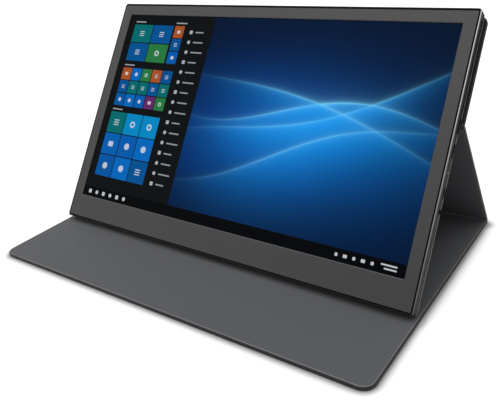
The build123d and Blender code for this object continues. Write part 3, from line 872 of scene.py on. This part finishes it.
def card(nodes, where, x, y, width, height, corner):
    """The mask of one rounded card, given its middle and its size in millimetres."""
    half = (max(width / 2 - corner, 0.0), max(height / 2 - corner, 0.0), 1.0)
    away = nodes.vector("ABSOLUTE", nodes.vector("SUBTRACT", where, (x, y, 0.0)))
    away = nodes.vector("MAXIMUM", nodes.vector("SUBTRACT", away, half), (0.0, 0.0, 0.0))
    inward = nodes.math("SUBTRACT", corner, nodes.vector("LENGTH", away))
    return nodes.math("MULTIPLY_ADD", inward, EDGE_SHARPNESS, 0.5, clamp=True)


def repeat(nodes, where, start, width, height):
    """Divides the picture into cells: the number of a point's cell, and its place inside it."""
    offset = nodes.vector("SUBTRACT", where, (*start, 0.0))
    grid = nodes.vector("DIVIDE", offset, (width, height, 1.0))
    inside = nodes.vector("MULTIPLY", nodes.vector("FRACTION", grid), (width, height, 0.0))
    return grid, inside


def plain_marks(nodes, inside, middle, reach):
    """The masks of four plain marks: a disc, a ring, a square and three lines."""
    disc = card(nodes, inside, *middle, reach, reach, reach / 2)
    hole = card(nodes, inside, *middle, reach / 2, reach / 2, reach / 4)
    ring = nodes.math("SUBTRACT", disc, hole)
    square = card(nodes, inside, *middle, reach, reach * SQUARE_SHARE, corner=0.5)
    lines = None
    for step in (-1, 0, 1):
        height = middle[1] + step * reach * LINE_STEP
        line = card(nodes, inside, middle[0], height, reach, reach * LINE_SHARE, corner=0.1)
        lines = line if lines is None else nodes.math("ADD", lines, line)
    return disc, ring, square, lines


def card_block(nodes, where, colour, screen, corner, count, cell, seed):
    """A block of plain cards, each with its own shade and one plain mark."""
    width, height = cell
    grid, inside = repeat(nodes, where, corner, width, height)
    number = nodes.vector("ADD", nodes.vector("FLOOR", grid), (seed, 2.0 * seed, 0.0))
    draw = nodes.add("ShaderNodeTexWhiteNoise", {0: number})
    shade = nodes.add("ShaderNodeValToRGB", {0: draw.outputs["Value"]})
    shade.color_ramp.interpolation = "CONSTANT"
    stops = shade.color_ramp.elements
    while len(stops) < len(CARD_SHADES):
        stops.new(0.5)
    for index, paint in enumerate(CARD_SHADES):
        stops[index].position = index / len(CARD_SHADES)
        stops[index].color = (*paint, 1.0)
    left, low = corner
    wide, high = count[0] * width, count[1] * height
    block = card(nodes, where, left + wide / 2, low + high / 2, wide, high, corner=0.2)
    middle = (width / 2, height / 2)
    plate = card(nodes, inside, *middle, width - CARD_GAP, height - CARD_GAP, corner=0.4)
    colour = nodes.blend(nodes.product(plate, block), colour, shade.outputs[0])

    masks = plain_marks(nodes, inside, middle, MARK_SHARE * min(width, height))
    first_draw = nodes.add("ShaderNodeSeparateColor", {0: draw.outputs["Color"]}).outputs[0]
    kind = nodes.math("FLOOR", nodes.product(first_draw, float(len(masks))))
    for index, mask in enumerate(masks):
        chosen = nodes.product(nodes.math("COMPARE", kind, float(index), 0.5), mask)
        chosen = nodes.product(chosen, nodes.product(block, MARK_STRENGTH))
        colour = nodes.blend(chosen, colour, tuple(screen.marks))
    x, y = left + HEADING_PLACE[0], low + high + HEADING_PLACE[1]
    heading = card(nodes, where, x, y, *HEADING_SIZE, corner=0.5)
    return nodes.blend(nodes.product(heading, HEADING_STRENGTH), colour, tuple(screen.marks))


def row_list(nodes, where, colour, screen):
    """A list of plain marks with bars of three lengths, in rows that repeat."""
    whole = card(nodes, where, *LIST_MIDDLE, *LIST_SIZE, corner=0.2)
    group = len(LIST_ROWS) * LIST_PITCH
    mark_x, mark = LIST_MARK
    bar_x, thick = LIST_BAR
    for row, (length, mark_corner) in enumerate(LIST_ROWS):
        start = (LIST_CORNER[0], LIST_CORNER[1] + row * LIST_PITCH)
        inside = repeat(nodes, where, start, LIST_WIDTH, group)[1]
        for x, width, height, corner, strength in (
            (mark_x, mark, mark, mark_corner, LIST_MARK_STRENGTH),
            (bar_x + length / 2, length, thick, LIST_BAR_CORNER, LIST_BAR_STRENGTH),
        ):
            shape = card(nodes, inside, x, LIST_PITCH / 2, width, height, corner)
            shape = nodes.product(shape, nodes.product(whole, strength))
            colour = nodes.blend(shape, colour, tuple(screen.marks))
    return colour


def picture_material(screen):
    """A lit screen: soft waves of light on deep blue, a dark panel of plain cards and a bar."""
    nodes = Nodes("screen_picture")
    wide = screen.width * 1000.0
    high = screen.height * 1000.0
    uv = nodes.add("ShaderNodeUVMap", uv_map="picture").outputs[0]
    where = nodes.vector("MULTIPLY", uv, (wide, high, 0.0))
    split = nodes.add("ShaderNodeSeparateXYZ", {0: uv})
    u, v = split.outputs[0], split.outputs[1]

    # A wide glow, and four waves that are brightest at the right of the middle
    away = nodes.vector("MULTIPLY", nodes.vector("SUBTRACT", uv, GLOW_MIDDLE), GLOW_PINCH)
    glow = nodes.math("EXPONENT", nodes.product(nodes.vector("DOT_PRODUCT", away, away), -1.0))
    haze = nodes.spread(nodes.noise(grain=3.0, where=uv, detail=2.0), *GLOW_HAZE)
    glow = nodes.math("MULTIPLY", glow, haze, clamp=True)
    colour = nodes.blend(glow, tuple(screen.deep), tuple(screen.glow))
    offset = nodes.math("DIVIDE", nodes.math("SUBTRACT", u, WAVE_MIDDLE), WAVE_REACH)
    reach = nodes.math("EXPONENT", nodes.product(nodes.product(offset, offset), -1.0))
    for *shape, strength in WAVES:
        body, crest = soft_wave(nodes, u, v, *shape)
        power = nodes.product(reach, strength)
        colour = nodes.blend(nodes.product(body, power), colour, tuple(screen.light))
        colour = nodes.blend(nodes.product(crest, power), colour, tuple(screen.crest))

    # The dark panel with its blocks of cards and its list
    panel = screen.panel_width * 1000.0
    dark = card(nodes, where, panel / 2 - 1, high / 2, panel + 2, high + 4, corner=0.2)
    colour = nodes.blend(dark, colour, tuple(screen.ink))
    for block in CARD_BLOCKS:
        colour = card_block(nodes, where, colour, screen, *block)
    colour = row_list(nodes, where, colour, screen)

    # The bar along the bottom, with marks at both ends
    bar = card(nodes, where, wide / 2, BAR_HEIGHT / 2, wide + 2, BAR_HEIGHT, corner=0.2)
    colour = nodes.blend(bar, colour, tuple(screen.bar))
    for mark in BAR_MARKS:
        mask = nodes.product(card(nodes, where, *mark), MARK_STRENGTH)
        colour = nodes.blend(mask, colour, tuple(screen.marks))

    # Black print on the glass beyond the picture
    lit = card(nodes, where, wide / 2, high / 2, wide, high, corner=0.3)
    nodes.feed(nodes.shader.inputs["Emission Color"], nodes.blend(lit, tuple(screen.bar), colour))
    nodes.shader.inputs["Emission Strength"].default_value = 1.0
    print_dark, print_light = (0.0010, 0.0010, 0.0014), (0.0020, 0.0020, 0.0024)
    nodes.coat(nodes.blend(nodes.noise(grain=900.0), print_dark, print_light))
    nodes.polish(nodes.noise(grain=40.0), smooth=0.16, dull=0.22, level=0.12)
    nodes.shader.inputs["IOR"].default_value = 1.12
    return nodes.material


# Operators

class MONITOR_OT_solids(Operator):
    """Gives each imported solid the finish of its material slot"""
    bl_idname = "portable_monitor.solids"
    bl_label = "Finish the packed solids"

    def execute(self, context):
        body = context.scene.monitor_body
        cover = context.scene.monitor_cover
        chosen = {
            "cover_leather": leather("cover_leather", cover.leather),
            "cover_lining": lining("cover_lining", cover.lining),
            "bond_film": moulded("bond_film", cover.bond, smooth=0.5, dull=0.6, level=0.12),
            # The housing carries painted shade, painted light and a painted highlight, besides its moulding line
            "housing_plastic": moulded(
                "housing_plastic", body.housing, smooth=0.5, dull=0.6, level=0.05,
                paint=housing_seam_and_painted_light(body, cover),
            ),
            # The frame carries painted shade, painted light and a painted bevel highlight
            "bezel_plastic": moulded(
                "bezel_plastic", body.bezel, smooth=0.36, dull=0.46, relief=0.18, level=0.28,
                paint=bezel_painted_light(body, cover),
            ),
            # The bright edge carries painted shade
            "edge_metal": side_trim("edge_metal", body, cover),
            "key_plastic": moulded("key_plastic", body.keys, smooth=0.3, dull=0.42, level=0.3),
            "socket_metal": moulded("socket_metal", body.sockets, level=0.12),
            # The sockets' black plastic shares the near black of the groove's painted shade
            "socket_plastic": moulded("socket_plastic", body.black_and_groove_shade, level=0.15),
            "light_pipe": film("light_pipe", body.lens),
        }
        makers = {
            "stiffener": fibreboard, "circuit_board": circuit, "display_layers": film,
            "cable_film": film, "screen_glass": film, "magnet": metal, "steel_strip": metal,
            "tray_metal": metal, "shield_tin": metal, "screw_metal": metal,
        }
        for slot, entry in PACKED.items():
            if slot not in chosen:
                chosen[slot] = makers.get(slot, moulded)(slot, tuple(entry["base_color"][:3]))
        for name, node in frame["nodes"].items():
            node.data.materials.clear()
            node.data.materials.append(chosen[SLOTS[name]])
            node.data.shade_smooth()
            node.data.set_sharp_from_angle(angle=SOLID_BREAK)
        return {"FINISHED"}


class MONITOR_OT_cover(Operator):
    """Makes the leather wraps and the linings of the cover's panels"""
    bl_idname = "portable_monitor.cover"
    bl_label = "Make the cover panels"

    def execute(self, context):
        cover = context.scene.monitor_cover
        outer = leather("panel_leather", cover.leather)
        inner = lining("panel_lining", cover.lining)
        # Painted highlights for the linings' edges; the kick panel's is darker, with painted shade
        bright = edge_highlight_lining("panel_lining_highlight", cover.edge)
        dull = edge_highlight_lining("kick_lining_shaded_highlight", cover.kick_shaded_highlight, smooth=0.5, dull=0.6)
        flat = Matrix.Identity(4)
        kick = kick_place(cover)
        kick_length = (kick.inverted() @ FOLD).y
        upper = monitor_place(cover) @ Matrix.Translation((0.0, cover.fold_height, -cover.thickness))
        half = cover.fold_half
        small = cover.fold_corner
        panels = (
            ("front_panel", "front_cover", "front_panel", flat,
             FRONT_LOW.y, HINGE.y - half, cover.front_corner, small),
            ("spine_panel", "spine", "spine_strip", flat,
             HINGE.y + half, REAR - cover.web, small, small),
            ("kick_panel", "kick", "kick_leg", kick,
             -cover.foot, kick_length - half, small, small),
            ("upper_panel", "upper", "display_unit", upper,
             half, cover.upper_length, small, cover.top_corner),
        )
        for name, node, body, place, start, end, near, far in panels:
            form = leather_tray(cover, start, end, near, far)
            made = add_piece(name + "_leather", form, [outer], body, place)
            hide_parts(node + "_skin")
            if node == "upper":
                continue
            form = lining_sheet(cover, start, end, near, far)
            # The kick panel's edge takes the darker copy of the painted highlight
            edge = dull if node == "kick" else bright
            made = add_piece(name + "_lining", form, [inner, edge], body, place)
            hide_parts(node + "_liner")
        return {"FINISHED"}


class MONITOR_OT_folds(Operator):
    """Makes the soft leather and the lining that join one panel to the next"""
    bl_idname = "portable_monitor.folds"
    bl_label = "Make the soft folds"

    def execute(self, context):
        cover = context.scene.monitor_cover
        self.flat = Vector((0.0, 1.0, 0.0))
        self.kick = kick_place(cover)
        self.along = self.kick.col[1].to_3d()
        self.inward = self.kick.col[2].to_3d()
        self.lean = math.atan2(self.along.z, self.along.y)
        self.up_back = Vector((0.0, math.cos(cover.tilt), math.sin(cover.tilt)))
        self.back_inward = Vector((0.0, -math.sin(cover.tilt), math.cos(cover.tilt)))
        self.leather_folds(cover)
        self.lining_folds(cover)
        return {"FINISHED"}

    def leather_folds(self, cover):
        """The outer leather: over the front fold, round the foot and over the back fold."""
        soft = leather("fold_leather", cover.leather, creased=True)
        reach = cover.web_reach
        sunk = cover.sink
        top = cover.thickness - cover.fold_top

        # Between the front panel and the spine
        across = self.flat * cover.front_bend
        columns = range(-BEND_COLUMNS, BEND_COLUMNS + 1)
        steps = [self.flat * -reach, *(across * (step / BEND_COLUMNS) for step in columns)]
        steps.append(self.flat * reach)
        low = Vector((0.0, HINGE.y, sunk))
        high = Vector((0.0, HINGE.y, top))
        corners = [(low + step, 0.0) for step in steps]
        corners += [(high + step, 0.0) for step in reversed(steps)]
        made = add_piece("front_fold_leather", fold_block(corners, cover), [soft])
        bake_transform(made)

        # From under the spine, round the foot and up the outside of the kick panel
        on_kick = self.kick.translation - self.inward * sunk
        back = REAR - sunk
        meet = on_kick + self.along * ((back - on_kick.y) / self.along.y)
        inner = self.kick @ Vector((0.0, 0.0, top))
        corner = inner + self.along * ((top - inner.z) / self.along.z)
        tangent = (cover.cove + cover.fold_top) * math.tan(self.lean / 2)
        corners = [
            (Vector((0.0, corner.y - tangent - reach, sunk)), 0.0),
            (Vector((0.0, back, sunk)), cover.heel), (meet, cover.heel),
            (meet + self.along * reach, 0.0),
            (corner + self.along * (tangent + reach), 0.0), (corner, tangent),
            (Vector((0.0, corner.y - tangent - reach, top)), 0.0),
        ]
        made = add_piece("foot_fold_leather", fold_block(corners, cover), [soft])
        low = corner - self.flat * tangent
        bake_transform(made)

        # Between the kick panel and the upper panel
        outer = FOLD + (self.inward + self.back_inward) * (sunk / 2)
        inner = FOLD + self.inner_corner(top)
        corners = [
            (outer - self.along * reach, 0.0), (outer, cover.web),
            (outer + self.up_back * reach, 0.0),
            (outer + self.up_back * reach + self.back_inward * (top - sunk), 0.0),
            (inner, cover.wall), (outer - self.along * reach + self.inward * (top - sunk), 0.0),
        ]
        made = add_piece("back_fold_leather", fold_block(corners, cover), [soft])
        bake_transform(made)

    def inner_corner(self, level):
        """From the back fold's outer line to where the two panels' inner sides would meet."""
        half_turn = self.inward.angle(self.back_inward) / 2
        return (self.inward + self.back_inward).normalized() * (level / math.cos(half_turn))

    def lining_folds(self, cover):
        """The lining: across the front fold, in the cove at the foot and up to the monitor."""
        soft = lining("fold_lining", cover.lining)
        # The lining's edge across the front fold and in the cove carries the painted highlight
        bright = edge_highlight_lining("fold_lining_highlight", cover.edge)
        width = COVER_WIDTH - 2 * (cover.wall + cover.lining_gap)
        ply = cover.ply
        level = cover.thickness - ply + cover.sink
        rim = cover.lining_rim
        run = cover.ply_reach

        # Across the front fold
        start = (0.0, HINGE.y - cover.crease, level)
        form = side_strip(start, 0.0, ply, [(2 * cover.crease, 0)], width, rim)
        made = add_piece("front_fold_lining", form, [soft, bright])
        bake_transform(made)

        # The cove between the spine and the kick panel
        on_kick = self.kick @ Vector((0.0, 0.0, level))
        corner = on_kick + self.along * ((level - on_kick.z) / self.along.z)
        sweep = cover.cove + ply
        tangent = sweep * math.tan(self.lean / 2)
        start = (0.0, corner.y - tangent - run, level)
        moves = [(run, 0), (sweep, math.degrees(self.lean)), (run, 0)]
        form = side_strip(start, 0.0, ply, moves, width, rim)
        made = add_piece("foot_cove_lining", form, [soft, bright])
        low = corner - self.flat * tangent
        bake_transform(made)

        # From the top of the kick panel to the monitor's back
        half_turn = (self.lean - cover.tilt) / 2
        to_corner = level * math.tan(half_turn)
        low = FOLD + self.inward * level - self.along * to_corner
        moves = [
            (run - ply, 0), (ply / math.tan(half_turn), -2 * math.degrees(half_turn)),
            (to_corner - ply, 0),
        ]
        form = side_strip(low - self.along * run, self.lean, ply, moves, width)
        made = add_piece("back_fold_lining", form, [soft])
        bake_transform(made)


class MONITOR_OT_screen(Operator):
    """Makes the cover glass with the lit picture behind it"""
    bl_idname = "portable_monitor.screen"
    bl_label = "Make the screen"

    def execute(self, context):
        screen = context.scene.monitor_screen
        low = screen.bottom - screen.bottom_margin
        high = screen.bottom + screen.height + screen.margin
        width = screen.width + 2 * screen.margin
        form = rounded_sheet(width, low, high, screen.glass, screen.glass, screen.glass_back)
        upper = raise_sheet(form, screen.glass)[1]
        round_rim(form, upper, screen.glass / 4, segments=2)
        layer = form.loops.layers.uv.new("picture")
        for face in form.faces:
            for loop in face.loops:
                across = loop.vert.co.x / screen.width + 0.5
                loop[layer].uv = (across, (loop.vert.co.y - screen.bottom) / screen.height)
        place = monitor_place(context.scene.monitor_cover)
        made = add_piece("screen_glass", form, [picture_material(screen)], "display_unit", place)
        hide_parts("cover_glass")
        return {"FINISHED"}


class MONITOR_OT_stage(Operator):
    """Sets up the floor, the lamps, the white surroundings and the camera"""
    bl_idname = "portable_monitor.stage"
    bl_label = "Set the stage"

    def execute(self, context):
        scene = context.scene
        stage = scene.monitor_stage
        scene.view_settings.view_transform = "Standard"

        form = bmesh.new()
        bmesh.ops.create_grid(form, x_segments=8, y_segments=8, size=stage.floor_reach)
        bmesh.ops.translate(form, vec=(0.0, 0.0, -stage.floor_drop), verts=form.verts)
        floor = add_piece("floor", form, [floor_material(stage)])
        floor.data.flip_normals()

        self.lamp(
            "key_lamp", spot=(-0.1, -0.35, 1.75), aim=(0.0, 0.0, 0.05), width=2.2,
            power=stage.key_power,
        )
        self.lamp(
            "fill_lamp", spot=(-1.3, -1.5, 0.9), aim=(0.0, 0.0, 0.1), width=1.2,
            power=stage.fill_power,
        )
        self.surroundings(scene, stage)
        self.camera(scene, stage)
        return {"FINISHED"}

    def lamp(self, name, spot, aim, width, power):
        """A square lamp at one spot that shines at another."""
        data = bpy.data.lights.new(name, "AREA")
        data.shape = "SQUARE"
        data.size = width
        data.energy = power
        made = bpy.data.objects.new(name, data)
        made.location = spot
        made.rotation_euler = (Vector(aim) - Vector(spot)).to_track_quat("-Z", "Y").to_euler()
        bpy.context.scene.collection.objects.link(made)

    def surroundings(self, scene, stage):
        """A soft even light, seen as plain white by the camera, in gloss and through glass."""
        world = bpy.data.worlds.new("surroundings")
        scene.world = world
        world.use_nodes = True
        nodes, links = world.node_tree.nodes, world.node_tree.links
        soft = nodes["Background"]
        soft.inputs["Strength"].default_value = stage.ambient
        white = nodes.new("ShaderNodeBackground")
        for backdrop in (soft, white):
            backdrop.inputs["Color"].default_value = (1.0, 1.0, 1.0, 1.0)
        path = nodes.new("ShaderNodeLightPath")
        through = nodes.new("ShaderNodeMath")
        seen = nodes.new("ShaderNodeMath")
        mix = nodes.new("ShaderNodeMixShader")
        through.operation = "MAXIMUM"
        seen.operation = "MAXIMUM"
        links.new(path.outputs["Is Glossy Ray"], through.inputs[0])
        links.new(path.outputs["Is Transmission Ray"], through.inputs[1])
        links.new(path.outputs["Is Camera Ray"], seen.inputs[0])
        links.new(through.outputs[0], seen.inputs[1])
        links.new(seen.outputs[0], mix.inputs[0])
        links.new(soft.outputs[0], mix.inputs[1])
        links.new(white.outputs[0], mix.inputs[2])
        links.new(mix.outputs[0], nodes["World Output"].inputs["Surface"])

    def camera(self, scene, stage):
        """The camera at the photograph's angle, with its small turn about its line of sight."""
        data = bpy.data.cameras.new("camera")
        data.lens = stage.lens
        data.sensor_width = 36.0
        data.sensor_fit = "HORIZONTAL"
        data.shift_y = stage.rise
        data.clip_start = 0.01
        back = Vector((
            math.sin(stage.azimuth) * math.cos(stage.elevation),
            -math.cos(stage.azimuth) * math.cos(stage.elevation),
            math.sin(stage.elevation),
        ))
        right = Vector((0.0, 0.0, 1.0)).cross(back).normalized()
        up = back.cross(right)
        tilted_right = right * math.cos(stage.roll) + up * math.sin(stage.roll)
        tilted_up = up * math.cos(stage.roll) - right * math.sin(stage.roll)
        made = bpy.data.objects.new("camera", data)
        turned = Matrix((tilted_right, tilted_up, back)).transposed()
        made.matrix_world = Matrix.Translation(stage.position) @ turned.to_4x4()
        scene.collection.objects.link(made)
        scene.camera = made


def floor_material(stage):
    """A pale floor that is white to the camera, keeps the object's shadow and has a painted contact shadow where
    its glow fades near the object.
    """
    nodes = Nodes("floor")
    nodes.base(stage.floor, nodes.noise(grain=2.0, detail=2.0), change=0.01)
    nodes.polish(nodes.noise(grain=6.0), smooth=0.9, dull=0.96, level=0.1)
    path = nodes.add("ShaderNodeLightPath")
    seen = nodes.math("MAXIMUM", path.outputs["Is Camera Ray"], path.outputs["Is Glossy Ray"])
    reach = nodes.vector("LENGTH", nodes.add("ShaderNodeTexCoord").outputs["Object"])
    glow = nodes.spread(reach, *FLOOR_GLOW_REACH, *FLOOR_GLOW)
    # Painted shadow: the glow fades out close to the object
    band = nodes.add("ShaderNodeAmbientOcclusion", {"Distance": CONTACT_SHADOW_REACH}, samples=12)
    glow = nodes.product(glow, nodes.math("POWER", band.outputs["AO"], CONTACT_SHADOW_POWER))
    lift = nodes.add(
        "ShaderNodeEmission", {"Color": (1.0, 1.0, 1.0, 1.0), "Strength": nodes.product(seen, glow)}
    )
    total = nodes.add("ShaderNodeAddShader", {0: nodes.shader.outputs[0], 1: lift.outputs[0]})
    nodes.feed(nodes.tree.nodes["Material Output"].inputs["Surface"], total.outputs[0])
    return nodes.material


class MONITOR_PT_tools(Panel):
    """Lists the steps that dress the monitor"""
    bl_idname = "MONITOR_PT_tools"
    bl_label = "Portable monitor"
    bl_space_type = "VIEW_3D"
    bl_region_type = "UI"
    bl_category = "Monitor"

    def draw(self, context):
        for step in STEPS:
            self.layout.operator(step.bl_idname, text=step.bl_label)
        for name in GROUPS:
            settings = getattr(context.scene, name)
            box = self.layout.box()
            box.label(text=name.replace("_", " ").capitalize())
            for key in settings.bl_rna.properties.keys():
                if key not in {"rna_type", "name"}:
                    box.prop(settings, key)


GROUPS = {
    "monitor_cover": CoverSettings, "monitor_body": BodySettings,
    "monitor_screen": ScreenSettings, "monitor_stage": StageSettings,
}
STEPS = (MONITOR_OT_solids, MONITOR_OT_cover, MONITOR_OT_folds, MONITOR_OT_screen, MONITOR_OT_stage)


def register():
    """Registers the classes and hangs the settings on the scene."""
    for made in (*GROUPS.values(), *STEPS, MONITOR_PT_tools):
        bpy.utils.register_class(made)
    for name, group in GROUPS.items():
        setattr(bpy.types.Scene, name, PointerProperty(type=group))


def unregister():
    """Takes the settings off the scene and unregisters the classes."""
    for name in GROUPS:
        delattr(bpy.types.Scene, name)
    for made in reversed((*GROUPS.values(), *STEPS, MONITOR_PT_tools)):
        bpy.utils.unregister_class(made)


def main():
    """Runs the steps in order."""
    register()
    for step in STEPS:
        group, name = step.bl_idname.split(".")
        getattr(getattr(bpy.ops, group), name)()


if __name__ == "__main__":
    main()
